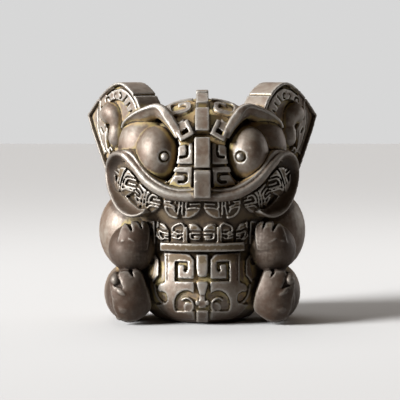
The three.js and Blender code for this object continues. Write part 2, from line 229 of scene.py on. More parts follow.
def relief(outlines, base, placed=FRONT, reach=(0, AHEAD)):
    """Outlines raised to the surface of a base that is grown by the relief's height."""
    return carved(fused([slab(outline, placed, *reach) for outline in outlines]), base, "INTERSECT")


def mirrored(piece):
    deselect()
    piece.select_set(True)
    bpy.context.view_layer.objects.active = piece
    bpy.ops.object.duplicate()
    twin = bpy.context.active_object
    twin.data.transform(Matrix.Scale(-1, 4, (1, 0, 0)))
    twin.data.flip_normals()
    return twin


# The head, trunk and limbs

def skull(grown=0.0):
    return ball(SKULL["at"], [r + grown for r in SKULL["radii"]], around=96, down=48)


# The muzzle's half width and depth at its levels, from below the chin to over the lip.
MUZZLE = [(42, 36.5, 41), (60, 38.5, 44.5), (80, 54, 49), (102, 54, 49)]


def muzzle(grown=0.0):
    """The mouth's inner wall, which carries the teeth: a boxy tube that changes with its height."""
    levels, widths, depths = zip(*MUZZLE)
    power = 2 / MOUTH["boxiness"]

    def place(along, around):
        z = levels[0] + (levels[-1] - levels[0]) * along
        half_width = np.interp(z, levels, widths) + grown
        depth = np.interp(z, levels, depths) + grown
        c, s = cos(2 * pi * around), sin(2 * pi * around)
        x = half_width * abs(c) ** power * (1 if c > 0 else -1)
        y = depth * abs(s) ** power * (1 if s > 0 else -1)
        return x, MOUTH["y"] + y, z

    return rolled(40, 96, place)


# The lip's line from the middle of the mouth to its corner and round the hollow there, from the front.
LIP = [(0, 77.8), (11.9, 77.4), (22.5, 79.4), (33.2, 85.6), (41.6, 95), (48.2, 100.6), (54.5, 99.4),
       (57.8, 92), (56.3, 81), (50.5, 70.4), (42.5, 66.2), (36, 68.2)]


def mouth_opening():
    half = smooth(LIP, 4) + [(40, 60), (40, 38)]
    return half + [(-x, z) for x, z in half[:0:-1]]


def jaw(grown=0.0):
    """The muzzle as far as it shows under the upper lip."""
    return carved(muzzle(grown), slab(mouth_opening(), FRONT, *FACE_REACH), "INTERSECT")


# The belly's outline from its middle below to its middle above: height, and share of its radius.
BELLY_PROFILE = [(0, 0), (0, 0.56), (0.9, 0.68), (3, 0.78), (9, 0.92), (18, 1.0), (31, 0.99), (40, 0.92),
                 (44, 0.86), (44, 0)]


def belly(grown=0.0):
    line = smooth(BELLY_PROFILE[1:-1], 5)
    profile = [(0, 0)] + [(z, BELLY["radius"] * share + grown) for z, share in line] + [(44, 0)]

    def place(along, around):
        z, r = profile[round(along * (len(profile) - 1))]
        a = 2 * pi * around
        return r * cos(a), BELLY["y"] + r * BELLY["deepen"] * sin(a), z

    return rolled(len(profile) - 1, 96, place)


# The hand and the foot from the front, as runs of points between the notches of their fingers and toes.
HAND = [[(52.4, 43), (51, 48.4), (49.4, 54.6), (47.9, 58.4), (46, 60), (44.4, 59.2), (42.9, 57), (41.2, 54)],
        [(41.2, 54), (41.7, 57.6), (42.5, 60.8), (40.3, 61.4), (38.2, 60.8), (37, 58.6), (34.9, 54.8)],
        [(34.9, 54.8), (35.7, 58), (36.6, 61), (35, 61.4), (33.2, 60.4), (31.9, 58), (31.5, 55), (31.8, 50),
         (33, 43)]]
FOOT = [[(49.6, 4), (52.6, 9.6), (53.4, 15.2), (54.8, 22.6), (55.2, 27.4), (53.8, 30.2), (51.6, 30.8),
         (50.2, 29.4), (47, 23)],
        [(47, 23), (48.9, 27.6), (49.6, 31.2), (47.2, 32.4), (44, 32.5), (42.6, 31), (39.4, 27.6)],
        [(39.4, 27.6), (40.6, 30.2), (41.4, 32.2), (39.4, 32.8), (37.2, 32.2), (36, 30.2), (34, 25.4),
         (31.6, 17.6), (30.6, 11), (32, 7.6), (37, 4), (42, 2.4), (46, 2.4)]]
UNDER_TOE = [(50.2, 29.4), (53.2, 24), (46.4, 22.2)]


def runs(parts):
    return [point for part in parts for point in smooth(part, 3)[:-1]]


def arm():
    """A thick arm folded up, with its palm forward and three fingers cut into the palm's upper edge."""
    upper = ball((42.5, 1, 53), (21, 24, 25.5))
    fore = ball((42.2, -29.4, 44.8), (14.2, 15.4, 14.6), (20, 0, 0))
    flesh = ball((41, -27, 49.6), (15.4, 18.2, 17), (6, 0, 0))
    palm = carved(slab(runs(HAND), FRONT, 30, AHEAD), flesh, "INTERSECT")
    pad = ball((46.4, -40, 50.6), (3.6, 4, 2.6), (0, 30, 0))
    crease = ball((41.4, -42.8, 50.6), (4.4, 2.6, 1.5), (0, -30, 0))
    return [upper, fore, palm, pad, crease]


def leg():
    """A stout leg with the sole forward: a long pad under three toes, with two bumps at the heel."""
    thigh = ball((45.5, -18, 17.3), (14, 27, 17.3))
    sole = ball((43.4, -40.4, 15.6), (12, 11, 14.4))
    pillow = ball((43.2, -37.2, 17.6), (15, 14.4, 19.6), (4, 0, 0))
    foot = carved(slab(runs(FOOT), FRONT, 26, AHEAD), pillow, "INTERSECT")
    under = ball((43.2, -37.2, 17.6), (13, 12.2, 17.6), (4, 0, 0))
    foot = carved(foot, carved(slab(UNDER_TOE, FRONT, 26, AHEAD), under))
    toe = ball((51.6, -43.4, 27), (3.4, 5, 3.8))
    ridge = ball((46.6, -47.6, 19.6), (5.4, 4.2, 3), (0, -30, 0))
    bump = ball((45.2, -46.2, 11.2), (6, 4.6, 5))
    heel = ball((46.6, -42.6, 6.6), (5.4, 4.6, 3.4), (0, 28, 0))
    return [thigh, sole, foot, toe, ridge, bump, heel]


# The ears

# The ear's arched edge and straight root in its own frame, and its rim's joints by angle and inner radius.
EAR_RIM = [(-30, 2), (-29, 9), (-22.8, 17.4), (-12.8, 23.5), (-4.2, 24.4), (4.6, 21), (15, 14.2), (26.4, 4)]
EAR_ROOT = [(22, -5), (12.6, -21), (7, -30), (-7, -30), (-18, -20)]
EAR_JOINTS = [(46, 19.6), (143, 27.6)]


def ear_outline(inset):
    """The ear's outline, drawn in towards its middle by about this much."""
    size = 1 - inset / 25
    return [(x * size, y * size) for x, y in smooth(EAR_RIM, 5) + EAR_ROOT]


def ear():
    """A thick fan whose dished face holds a slotted crescent, two plates, ridges and a bean-shaped lobe."""
    floor = -EAR["dish"]

    def raised(points, width, height):
        return slab(stroke(points, width), EAR_VIEW, floor - 1, floor + height)

    def lump(across, up, radius):
        return ball(EAR_VIEW @ Vector((across, up, floor + 0.2)), [radius] * 3, (0, 0, EAR["turn"]), 32, 20)

    shell = slab(ear_outline(0), EAR_VIEW, -EAR["thickness"], 0)
    shell = carved(shell, slab(ear_outline(EAR["rim"]), EAR_VIEW, floor, 2))
    for angle, radius in EAR_JOINTS:
        c, s = cos(radians(angle)), sin(radians(angle))
        joint = stroke([(radius * c, radius * s), (32 * c, 32 * s)], 1.2)
        shell = carved(shell, slab(joint, EAR_VIEW, -EAR["thickness"] - 1, 2))
    band = arc(-3.6, 0.5, 22.4, 20.8, 176, 34, 20) + arc(-2.6, 0.5, 14.2, 13.8, 34, 176, 16)
    crescent = slab(band, EAR_VIEW, floor - 1, floor + 2.3)
    slots = [
        stroke([(-14.8, 16.8), (-9.3, 12.6)], 1.3),
        stroke([(-17.4, 12.6), (-12.1, 9.2)], 1.3),
        stroke([(-19.6, 8), (-14.6, 5.6)], 1.1),
        stroke(smooth([(7.4, 16.6), (0.6, 20), (-6.6, 21.4)], 4), 1.3),
        stroke(smooth([(-2.2, 14.2), (-1, 16.2), (-2.4, 18), (-4, 17)], 4), 1.0),
        stroke(smooth([(-5.8, 14.8), (-8.2, 15.4), (-8, 17.8), (-6.2, 18)], 4), 1.1),
        stroke(smooth([(3.4, 13.2), (4.6, 15.2), (7.4, 14.6), (7.2, 12.4)], 4), 1.1),
    ]
    for outline in slots:
        crescent = carved(crescent, slab(outline, EAR_VIEW, floor + 0.3, floor + 4))
    wing = slab([(13.9, 13.6), (16.3, 11.4), (16.4, 2.5), (15.8, -5), (12.4, -12), (7.9, -18.4), (5.6, -18.4),
                 (7.2, -11.8), (6.8, -5), (8.6, 0.2), (12.4, 6.2)], EAR_VIEW, floor - 1, floor + 1.9)
    for outline in (stroke([(15.4, 3.6), (13.2, 0.4)], 1.1), stroke([(13.6, -3.4), (10.6, -7)], 1.2)):
        wing = carved(wing, slab(outline, EAR_VIEW, floor + 0.2, floor + 4))
    edge_plate = slab([(17.6, 11.2), (25, 4.6), (21, -5), (12, -20.6), (9.4, -18.4), (13.8, -12.4),
                       (17.2, -5), (17.8, 2.5)], EAR_VIEW, floor - 1, floor + 1.2)
    ridges = [
        raised(smooth([(-13, 22), (-20.6, 16.6), (-25.6, 9.8), (-27, 4)], 4), 1.2, 2.6),
        raised(smooth([(13.4, 13.4), (12.7, 6.4), (9.6, 1.6), (8.2, -3)], 4), 1.3, 2.9),
        raised(smooth([(8.6, -6), (8.2, -11.6), (5.8, -18)], 4), 1.1, 2.6),
        raised(smooth([(1.6, -17.6), (3.2, -15.4), (5, -17), (4, -19.4)], 4), 1.2, 2.4),
    ]
    path = smooth([(6.8, 5, 6), (4.4, 6, 6.4), (1.2, 4.6, 6.2), (-0.8, 1, 5), (-1.3, -2.6, 4.3),
                   (-1.2, -6, 5.2), (-0.8, -9.6, 5.2)], 5)
    bean = fused([lump(*place) for place in path])
    for at in [(54.7, -9, 117), (57.4, -5.6, 119.4)]:
        bean = carved(bean, ball(at, (1.3, 3.4, 1.5), around=16, down=10))
    return [shell, crescent, wing, edge_plate, bean, *ridges]


# The face

def eye():
    """The lidded ball with its drilled pupil and the bead inside it."""
    lid = ball(LID["at"], LID["radii"], around=64, down=40)
    globe = ball(EYE["at"], EYE["radii"], around=80, down=48)
    a, b, c = EYE["radii"]
    dx, dz = EYE["pupil"]
    dy = -b * sqrt(1 - (dx / a) ** 2 - (dz / c) ** 2)
    pupil = Vector(EYE["at"]) + Vector((dx, dy, dz))
    out = Vector((dx / a**2, dy / b**2, dz / c**2)).normalized()
    bpy.ops.mesh.primitive_cylinder_add(vertices=40, radius=EYE["bore"], depth=3.2, location=pupil)
    drill = bpy.context.active_object
    drill.rotation_euler = out.to_track_quat("Z", "Y").to_euler()
    bpy.ops.object.transform_apply()
    bead = ball(pupil - out * 0.2, [EYE["bead"]] * 3, around=24, down=16)
    return [lid, carved(globe, drill), bead]


def socket():
    """The room for the eyeball in the forehead's plates."""
    x, y, z = EYE["at"]
    return ball((x, y - 6, z), [r + 1.2 for r in EYE["radii"]], around=64, down=40)


# The brow from its outer end down to the nose: place, width of its edge, and reach of the slope under it.
BROW = [((49.2, -22, 117), 1.2, 3.4), ((47.4, -26, 121.2), 1.3, 5), ((42.4, -31, 125.6), 1.4, 6.2),
        ((35.6, -36.5, 129.2), 1.6, 6.6), ((28, -40, 131.6), 2.6, 5.4), ((22, -42.5, 129.8), 4.6, 3),
        ((17.4, -44.5, 124.4), 5.2, 1.4), ((13.8, -46.8, 118.4), 4.8, 0.8), ((11.4, -48.6, 113.4), 4.4, 0.6)]


def brow():
    line = smooth([at for at, _, _ in BROW], 6)
    stops = np.linspace(0, 1, len(BROW))

    def section(along):
        edge = float(np.interp(along, stops, [b[1] for b in BROW]))
        slope = float(np.interp(along, stops, [b[2] for b in BROW]))
        return [(0, -10), (0, -0.6), (-0.3, 0.1), (-0.6, 0.3), (-edge + 0.5, 0.5), (-edge, 0.2),
                (-edge - 0.25, -0.4), (-edge - 0.6 * slope, -1.9), (-edge - slope, -4.6),
                (-edge - 1.3 * slope, -9), (-edge - 1.4 * slope, -18), (0, -18)]

    return swept(line, section, lambda p, along: Vector((0, -1, 0)))


def brow_curl():
    """The squared curl that ends the brow beside the crest."""
    hook = stroke([(14.6, 116), (12.4, 111.4), (6.2, 114.8), (9.8, 122)], 2.3)
    knob = [(15.4, 119.8), (11.7, 122), (9.5, 117.4), (12.4, 115.4)]
    bed = [(12.4, 109.8), (17, 118), (11.6, 122.4), (5.6, 113.4)]
    return [relief([hook], skull(7.2)), relief([knob], skull(6.6)), relief([bed], skull(3.4))]


def mouth_depth(x):
    """How far forward the mouth's rounded wall is, this far from its middle."""
    share = min(abs(x / MOUTH["half_width"]), 1) ** MOUTH["boxiness"]
    return MOUTH["y"] - MOUTH["depth"] * (1 - share) ** (1 / MOUTH["boxiness"])


def mouth_out(p, along):
    """The level way out of the mouth's rounded wall at a point."""
    power = MOUTH["boxiness"] - 1
    lean_x = abs(p.x) ** power / MOUTH["half_width"] ** MOUTH["boxiness"] * (1 if p.x > 0 else -1)
    y = p.y - MOUTH["y"]
    lean_y = abs(y) ** power / MOUTH["depth"] ** MOUTH["boxiness"] * (1 if y > 0 else -1)
    return Vector((lean_x, lean_y, 0)).normalized()


# Sections across and out of the mouth's wall: full lip, rim of the corner's hollow, and edge of the cheek.
LIP_SECTION = [(-2.6, -13), (-2.8, -1.2), (-2.5, -0.1), (-1.9, 0.6), (-1.1, 1.0), (-0.3, 1.1), (0.4, 0.9),
               (1.1, 0.6), (1.8, 0.2), (2.5, -0.6), (2.9, -1.8), (2.5, -13)]
RIM_SECTION = [(-2.6, -13), (-2.8, -1.4), (-2.5, -0.3), (-2.0, 0.4), (-1.4, 0.7), (-0.8, 0.6), (-0.2, -0.1),
               (0.3, -1.6), (1.1, -3.8), (2.3, -5.6), (4.0, -6.6), (4.0, -13)]
CHEEK_SECTION = [(-0.9, -13), (-0.9, -1.4), (-0.5, -0.7), (0.1, -0.6), (0.7, -0.9), (2.4, -1.1), (4.6, -0.9),
                 (4.6, -13)]
CHEEK_EDGE = [(0, 81.6), (5, 81.6), (13.2, 81.2), (21.2, 82.8), (29.2, 87), (35.4, 92.4), (38.9, 96.8),
              (41.6, 100.4), (45, 102.8), (48.6, 103.2)]
# The lip's points, by number, between which it turns into the rim, and between which it sinks in.
TURNS_TO_RIM = [4.4, 6.2]
SINKS_IN = [9.6, 11]


def around_mouth(half, section, steps=6):
    """Carries a section along a line round the mouth: the section is given for its share from the middle."""
    both = [(-x, z) for x, z in half[:0:-1]] + half
    line = [(x, mouth_depth(x), z) for x, z in smooth(both, steps)]
    return swept(line, lambda along: section(abs(2 * along - 1)), mouth_out)


def lip_section(share):
    """A full lip over the teeth, which thins to a rim round the corner's hollow and sinks in at its end."""
    number = share * (len(LIP) - 1)
    corner = float(np.interp(number, TURNS_TO_RIM, [0, 1]))
    size = float(np.interp(number, SINKS_IN, [1, 0.3]))
    root = -12
    turned = [(a * (1 - corner) + c * corner, b * (1 - corner) + d * corner)
              for (a, b), (c, d) in zip(LIP_SECTION, RIM_SECTION)]
    return [(x * size, y if y < root else (y + 1) * size - 1 - 2.2 * (1 - size)) for x, y in turned]


def lips():
    return [around_mouth(LIP, lip_section), around_mouth(CHEEK_EDGE, lambda share: CHEEK_SECTION)]


# The teeth

# The teeth of one side as drawn over the front view, in millimetres. Each has petals, swelling lenses at its
# tip, pointed blades at its root, and lines with their widths. Cuts are the deepest grooves between lines.
PETALS = [
    [(45.6, 92.6), (40.2, 86.8), (38.6, 83.7), (39.6, 79.7), (42.1, 77.5), (45.5, 76.2), (48.6, 77.6),
     (48.9, 80), (48.6, 84), (47.2, 88.5), (45, 92.3)],
    [(49.3, 93.4), (52.1, 91.3), (52.9, 87.7), (52.6, 83.9), (51.5, 80.8), (50, 78.6), (49.2, 79.5),
     (49.7, 83.7), (48.9, 87.5), (47.3, 91.5)],
    [(33.4, 79), (30.5, 78.6), (25.4, 75.8), (24.6, 72), (25.6, 69.4), (28.4, 66.6), (31.3, 65.8),
     (34.2, 67.3), (34.3, 70), (33.9, 74.5)],
    [(35.2, 81), (37.6, 83.5), (39.5, 81), (40.5, 77.5), (40.4, 75), (39.3, 71.6), (37.8, 69.8),
     (36, 69), (35.7, 72), (35.3, 75.8), (34.2, 79)],
    [(12, 75.5), (1, 75.5), (1, 68.6), (2.4, 66.2), (4.6, 64.1), (8.2, 62.6), (11.8, 63), (12.3, 67)],
    [(13.8, 75.5), (23, 75.5), (23, 70.2), (22.4, 67.8), (21.2, 65.8), (19.2, 64), (16.8, 62.9),
     (14.4, 62.7), (14.4, 67)],
    [(27.2, 61), (24.9, 60.2), (22.5, 59.2), (21.2, 57.4), (20.2, 55.5), (20, 47.4), (27.2, 47.4)],
    [(28.9, 61.4), (33, 60.6), (36, 57.4), (36, 47.4), (28.9, 47.4)],
    [(10.9, 58.4), (12.4, 60), (15, 59.4), (17.2, 58.5), (18.4, 57), (18.6, 47.4), (10.9, 47.4)],
    [(8.6, 58.2), (7.6, 59.2), (5.4, 59.6), (3.2, 58.8), (0.9, 56.9), (0.3, 54.6), (0.3, 47.4),
     (8.6, 47.4)],
]
BLADES = [
    [(49.3, 93.2), (47.7, 93.6), (45.6, 93.2), (46.8, 91.7), (47.9, 89.5), (48.4, 89.8), (48.6, 91.1)],
    [(44.1, 91.8), (39.9, 87.1), (42.4, 88), (44.7, 88.5), (45.9, 87.9), (46.8, 86.8), (46.8, 88.3)],
    [(37.9, 83.2), (37.1, 83.7), (35.1, 81.3), (33.5, 80), (34.3, 78.6), (34.9, 77.7), (35.4, 79.4),
     (36.5, 80.8)],
    [(33.1, 79), (32.4, 79.2), (30.9, 78.4), (32, 77), (33, 75.5), (33.5, 76.2)],
]
LENSES = [
    [(48.5, 79.6), (46.7, 80.8), (45.4, 80.7), (41.6, 79.3), (42.7, 77.9), (44.1, 76.8), (45.6, 76.4),
     (47.1, 76.8), (48.2, 78.1)],
    [(33.2, 69.1), (31.7, 70.3), (30.6, 70.5), (26.3, 69.5), (27.9, 67.9), (29.6, 66.7), (31.3, 66.2),
     (32.7, 67.5)],
    [(22.5, 70), (19.7, 69.6), (17.3, 68.6), (16, 66.7), (14.9, 64.3), (14.7, 63), (16.8, 63.2),
     (19.2, 64.3), (21.1, 66), (22.2, 67.9)],
    [(10.1, 67.6), (8.2, 68.7), (4.7, 69.1), (1.3, 68.8), (2.5, 66.4), (4.7, 64.3), (8.2, 62.9),
     (10.7, 63.3)],
    [(33.6, 59.4), (32.1, 60.3), (29.9, 60.6), (30.1, 58.5), (31.2, 56.9), (32.3, 57.8)],
    [(25.9, 59.8), (24.9, 59.9), (22.6, 58.9), (21.5, 57.4), (20.6, 55.9), (23.2, 55.8), (25.3, 57),
     (26.1, 58.1)],
    [(16.3, 55.4), (16.8, 57.2), (15, 58.5), (13.2, 59.1), (11.8, 57.7), (11.8, 56), (12.6, 55.2),
     (14.4, 55.5)],
    [(7.8, 55.5), (7.7, 57.5), (6.6, 58.9), (5.1, 59.2), (3.1, 58.5), (1.1, 56.8), (0.6, 55.2),
     (4, 55.7)],
]
LINES = [
    (0.9, [(45.6, 93.2), (47, 91.4), (48.2, 88.6), (49, 85.6), (49.6, 82.5), (49.7, 79)]),
    (0.9, [(44.1, 91.7), (45.6, 90.1), (46.8, 88.3), (47.7, 86.3), (48.3, 84), (48.6, 81.7),
     (48.6, 79.4)]),
    (1.1, [(39.4, 85.4), (42.2, 86.5), (44.4, 86.9), (45.6, 86.1), (46.5, 84.6), (47, 82.7), (46, 82.3),
     (43.7, 81.6), (39.9, 80.6)]),
    (1.1, [(44.5, 84.2), (42.7, 83.6), (39.6, 82.8)]),
    (0.9, [(48.5, 79.4), (47.4, 80.4), (46.3, 80.7), (45.4, 80.6), (43.4, 79.7), (41, 79.1)]),
    (0.9, [(50.6, 92.6), (49.5, 91.2), (49.3, 89.8), (49.8, 87.9), (50.6, 85.7), (50.9, 84),
     (50.6, 82.5), (50.3, 81)]),
    (0.9, [(52.4, 91.6), (50.9, 90.1), (50.3, 89.2)]),
    (1, [(52.5, 89.4), (52.5, 87.9), (52.5, 85.6), (52.1, 83.3), (51.2, 81), (50.1, 79)]),
    (0.85, [(33.6, 80), (34.4, 78.4), (35, 76.2), (35.5, 73.7), (35.7, 71.2), (35.8, 69)]),
    (0.85, [(32.7, 78.9), (33.2, 77.2), (33.7, 74.8), (34.1, 72), (34.3, 69.4), (34.1, 67.6)]),
    (1.1, [(26.6, 75.5), (28.6, 76.7), (29.8, 76.9), (31.2, 75.9), (31.9, 74.1), (32.1, 72.3),
     (31.2, 72.4), (29.6, 72.1), (27.5, 71.6), (25.2, 71)]),
    (1.1, [(29.4, 74.3), (27.9, 74.1), (26.5, 73.7), (24.8, 73.5)]),
    (0.9, [(33, 69.1), (31.7, 70.3), (30.6, 70.5), (28.6, 70.1), (25.9, 69.4)]),
    (1, [(39, 81.2), (37.5, 79.8), (36.5, 78.2), (36.3, 76.8), (36.7, 75.5), (37.4, 73.9), (37.4, 72),
     (37.6, 70.3)]),
    (0.9, [(40.2, 79.2), (38.7, 78.1), (37.9, 77)]),
    (0.9, [(40.6, 77.3), (38.9, 75.8), (37.7, 74.6)]),
    (0.9, [(40.5, 75.6), (39.5, 73.7), (38.6, 72), (37.9, 70.3)]),
    (0.9, [(13.8, 75.5), (13.8, 70.2), (14.4, 67.7), (14.7, 65)]),
    (0.9, [(11.8, 75.5), (11.9, 69.1), (12.2, 67.1), (11.9, 64.8)]),
    (0.8, [(22.9, 75.4), (16.1, 75.2), (16.1, 71.4)]),
    (0.9, [(23, 73.3), (18.5, 72.9)]),
    (1, [(23, 72), (20.6, 71.4), (18.1, 70.6), (16.1, 69.4)]),
    (0.9, [(22.5, 69.9), (19.7, 69.6), (17.3, 68.5), (16.1, 66.5)]),
    (0.9, [(22.4, 69.9), (21.8, 67.7), (20.6, 65.7), (18.5, 64), (15, 63)]),
    (1, [(1, 74.2), (3.9, 74.1), (7.6, 74), (9.1, 73.3), (9.7, 71.7), (9.9, 69)]),
    (1, [(7.6, 71.2), (1, 71.6)]),
    (0.8, [(9.9, 67.8), (8.2, 68.7), (4.7, 69.1), (1.3, 68.8)]),
    (1.1, [(29.2, 61.2), (29.1, 57.8), (28.8, 47.4)]),
    (0.9, [(26.6, 61), (26.8, 58.5), (27.4, 57)]),
    (0.9, [(30.9, 55.2), (33.5, 55.6)]),
    (0.9, [(30.4, 52.4), (34, 52.8)]),
    (0.9, [(26.1, 55.6), (24.8, 55), (23.2, 54.3), (20, 53.9)]),
    (0.8, [(22.9, 52.6), (20, 52.3)]),
    (0.8, [(22.8, 51), (20.2, 50.5)]),
    (0.8, [(26.3, 55.1), (25.7, 53), (24.6, 51.2), (23.2, 50.1)]),
    (0.8, [(27.7, 54.4), (27, 52.3), (26, 51), (24.4, 49.8)]),
    (0.9, [(18.1, 54.9), (18.1, 56.9), (17, 58.3), (15, 59.2), (13.2, 59.8), (12.4, 59.7), (11.1, 58.2),
     (10.9, 56), (11.1, 53.3), (11.1, 47.4)]),
    (1, [(17.7, 54.7), (16, 54.3), (15, 53.7), (13.5, 53.4), (12.5, 54)]),
    (0.9, [(18.7, 53.4), (17.3, 53.1), (15.3, 52.1)]),
    (0.9, [(18.5, 51.6), (16.3, 50.8), (14.4, 50.5), (13.2, 51.1), (12.9, 51.9)]),
    (0.9, [(9.4, 57.6), (9.4, 47.4)]),
    (0.9, [(7.3, 54), (7.1, 51.4), (5.8, 50.2), (1.6, 50)]),
    (0.9, [(6.2, 53.9), (1, 53.7)]),
    (0.9, [(5.2, 51.9), (1, 51.7)]),
    (1.4, [(46.4, 76), (44.7, 74.1), (43.4, 71.2), (42.3, 70), (40.8, 69.3), (39.1, 69.4), (38, 69.9)]),
]
CUTS = [
    (0.9, [(44.2, 93.4), (46.4, 90.2), (47.6, 87.6), (48.5, 84.8), (49.1, 82), (49.2, 78.6)]),
    (0.6, [(48.9, 89.2), (49.4, 87.2), (50.2, 84.6), (50.2, 81)]),
    (0.7, [(39.8, 86.6), (42.3, 87.2), (44.6, 87.7), (46, 87), (47, 85.2), (47.6, 83), (47.7, 81)]),
    (0.8, [(32.5, 80.2), (33.7, 77.8), (34.3, 75.2), (34.7, 72.6), (34.9, 67.9)]),
    (0.6, [(35.2, 78.8), (35.8, 76.4), (36.3, 73.8), (36.6, 70.4)]),
    (0.6, [(31.2, 77.7), (32.6, 75.8), (33, 73.4), (33.1, 70.6)]),
    (0.9, [(12.9, 76.2), (12.9, 70), (13.3, 64.6)]),
    (0.7, [(10.7, 76.2), (10.7, 70), (10.8, 66)]),
    (0.6, [(15, 76.2), (15.2, 70), (15, 66.6)]),
    (0.8, [(27.9, 61.4), (27.9, 58), (27.9, 47.4)]),
    (0.6, [(10.2, 59.5), (10.2, 47.4)]),
    (0.6, [(8.6, 59), (8.6, 47.4)]),
]


def on_teeth(point):
    """Brings a point from the drawn plane to the teeth, which are nearer and so look larger and lower."""
    x, z = point
    proud, widest = 1.5, 0.985
    levels, widths, depths = zip(*MUZZLE)
    half_width = np.interp(z, levels, widths) + proud
    depth = np.interp(z, levels, depths) + proud
    share = min(abs(x) / half_width, widest)
    y = MOUTH["y"] - depth * (1 - share ** MOUTH["boxiness"]) ** (1 / MOUTH["boxiness"])
    nearer = DRAWN_Y - y
    grown = DISTANCE / (DISTANCE - nearer)
    level = AIM[2] + (z - AIM[2]) / grown + nearer * tan(radians(ELEVATION))
    return round(x / grown, 1), round(level, 1)


def traced(outlines):
    return [[on_teeth(point) for point in outline] for outline in outlines]


def drawn(strokes):
    widths, lines = zip(*strokes)
    curves = [smooth(line, 3) if len(line) > 3 else line for line in traced(lines)]
    return [stroke(curve, width) for width, curve in zip(widths, curves)]


def teeth():
    """The upper and lower teeth of one side, with the deep cuts between their lines."""
    pieces = [relief(traced(PETALS), jaw(1.2)), relief(traced(BLADES), jaw(2.8)),
              relief(drawn(LINES), jaw(2.8))]
    for n, piece in enumerate(pieces):
        cuts = carved(fused([slab(outline, FRONT, *FACE_REACH) for outline in drawn(CUTS)]), muzzle(0.2))
        pieces[n] = carved(piece, cuts)
    return pieces + [relief(traced(LENSES), jaw(2.0))]


# The forehead, crest and belly reliefs

def forehead_plates():
    upper = [(5.6, 109), (5.7, 96.5), (17.1, 96.5), (15, 105), (13.4, 107)]
    lower = [(6, 94.8), (18, 94.6), (23, 86.3), (23.4, 81.4), (6.2, 80.6)]
    boss = arc(11.7, 104.6, 2.4, 2.4, 0, 345, 23)
    upper_fret = stroke(smooth([(8.9, 110.4), (8.9, 102.8), (9.8, 100.9), (13.6, 100.3)], 5), 1.7)
    lower_fret = stroke([(19.8, 79), (20.1, 85.6), (16.9, 90.7), (9.4, 90.7), (9.4, 87), (10.8, 85.9),
                         (14.6, 85.8)], 1.8)
    raised = fused([relief([upper], skull(2.6)), relief([lower], skull(2.6))])
    raised = carved(raised, fused([slab(fret, FRONT, *FACE_REACH) for fret in (upper_fret, lower_fret)]))
    return [raised, relief([boss], skull(2.5))]


def crown_frets():
    crown = stroke(smooth([(5.5, -13.6), (14, -13.6), (19.4, -15.2), (20.4, -21), (18.6, -28), (13, -28.8),
                           (8.6, -28), (8.4, -22), (10.4, -19.6), (14.6, -19.6)], 3), 2.9)
    nape = stroke([(-6, 122), (-22, 118), (-22, 101), (-9, 101), (-9, 111), (-16, 110)], 2.9)
    return [relief([crown], skull(1.9), TOP, (90, 150)), relief([nape], skull(2.6), BACK, (20, 62))]


# The crest blocks' spans in degrees from the face, and the half widths of the first, second and later ones.
CREST_SPANS = [(3, 25.5), (31, 52.5), (59, 75), (81, 98), (104, 122), (128, 146), (152, 170)]
CREST_HALF = [4.65, 4.2, 3.7]


def crest():
    """Square blocks over the head, between angles along the skull's middle line, and the nose block."""
    _, cy, cz = SKULL["at"]
    _, ry, rz = SKULL["radii"]
    blocks = []
    proud, sunk = 5.4, 6
    for n, (start, end) in enumerate(CREST_SPANS):
        half = CREST_HALF[min(n, 2)]
        ring = arc(cy, cz, ry + proud, rz + proud, 180 - start, 180 - end, 6)
        root = arc(cy, cz, ry - sunk, rz - sunk, 180 - start, 180 - end, 6)
        blocks.append(slab(ring + root[::-1], SIDE, -half, half))
    nose = [(-58.4, 93), (-59.4, 91.8), (-60, 84), (-60, 77.4), (-59.4, 76.8), (-40, 76.8), (-40, 93)]
    return blocks + [slab(nose, SIDE, -4.8, 4.8)]


def chin_plate():
    plate = block((-25, -62, 44.4), (25, -8, 49.2))
    return carved(plate, muzzle(6.4), "INTERSECT")


BELLY_PLATE = [(4.9, 38.4), (6.8, 41), (8.4, 42), (22.8, 42.4), (22.4, 36), (22.2, 24.8), (24.4, 24.2),
               (26.2, 22.6), (26.8, 20), (25.6, 19.2), (23.6, 19.4), (21.6, 18.4), (20.7, 16.2), (20.8, 13.6),
               (22.2, 12), (24.4, 11.2), (28, 10.8), (26.4, 9.2), (22.4, 4.6), (18, 2.2), (4.9, 2)]
BELLY_LEAF = [(29.8, 40.6), (27.8, 40), (26.2, 37.6), (26, 29), (29.8, 24), (30.2, 26.4), (29, 32),
              (28.4, 36.4)]
LEAF_BLADE = [(28.8, 35), (31.8, 34.2), (35.6, 30.2), (36.4, 28.4), (34, 26.6), (31, 26.4), (29.4, 25.4)]


def belly_relief():
    """One half of the belly's plate with its spiral, arch and channel, and the leaf, ring and boss by it."""
    spiral = stroke([(3, 26.8), (15.3, 26.8), (15.3, 36.6), (9.5, 36.6), (9.5, 33.2), (10.6, 31.8)], 2.0)
    arch = arc(9.3, 12, 7.4, 8.8, -30, 210, 24)
    channel = stroke([(20.9, 41), (20.9, 25.6)], 1.2)
    plate = relief([BELLY_PLATE], belly(2.1))
    for outline in (spiral, arch):
        plate = carved(plate, slab(outline, FRONT, 0, AHEAD))
    plate = carved(plate, carved(slab(channel, FRONT, 0, AHEAD), belly(1.7)))
    leaf = relief([BELLY_LEAF], belly(2.1))
    blade = relief([LEAF_BLADE], belly(1.2))
    ring = relief([stroke(arc(9.3, 11.4, 3.9, 4.6, 40, 240, 16), 1.0)], belly(1.9))
    boss = relief([arc(8.6, 10.4, 2.5, 3, 0, 345, 23)], belly(1.3))
    thread = relief([stroke(smooth([(28.8, 23.4), (27.6, 17), (25, 13), (22.4, 11.6)], 5), 1.2)], belly(1.6))
    for piece in (plate, leaf, blade, ring, boss, thread):
        piece.data.transform(Matrix.Translation((0, 0, BELLY["raise"])))
    return [plate, leaf, blade, ring, boss, thread]


